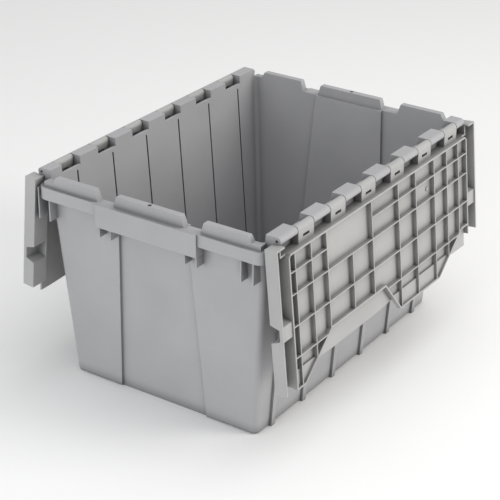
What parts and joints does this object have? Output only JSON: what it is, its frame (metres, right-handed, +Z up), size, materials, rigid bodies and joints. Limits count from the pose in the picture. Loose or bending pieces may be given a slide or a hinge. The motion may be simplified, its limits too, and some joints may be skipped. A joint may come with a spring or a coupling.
{
  "type": "attached lid tote",
  "caption": "Nesting plastic storage tote with drafted walls, a handle band at each end and hinged half lids that interlock over the middle on steel rods.",
  "frame": {"origin": "on the floor, under the middle of the tub and of the hanging lids", "axes": "+X along the length, +Y across towards the left lid, +Z up"},
  "size_m": [0.546, 0.4572, 0.3175],
  "materials": {
    "grey_plastic": "fine moulded texture",
    "steel_wire": "drawn wire"
  },
  "bodies": {
    "tub_body": {"tub": "grey_plastic", "left_hinge_rod": "steel_wire", "right_hinge_rod": "steel_wire"},
    "left_lid_body": {"left_lid": "grey_plastic"},
    "right_lid_body": {"right_lid": "grey_plastic"}
  },
  "joints": [
    {"name": "right_lid_hinge", "type": "hinge", "parent": "tub_body", "child": "right_lid_body", "pos_m": [0, -0.196, 0.3115], "axis": [-1, 0, 0], "range_deg": [0, 264.6]},
    {"name": "left_lid_hinge", "type": "hinge", "parent": "tub_body", "child": "left_lid_body", "pos_m": [0, 0.196, 0.3115], "axis": [1, 0, 0], "range_deg": [0, 264.6]}
  ]
}
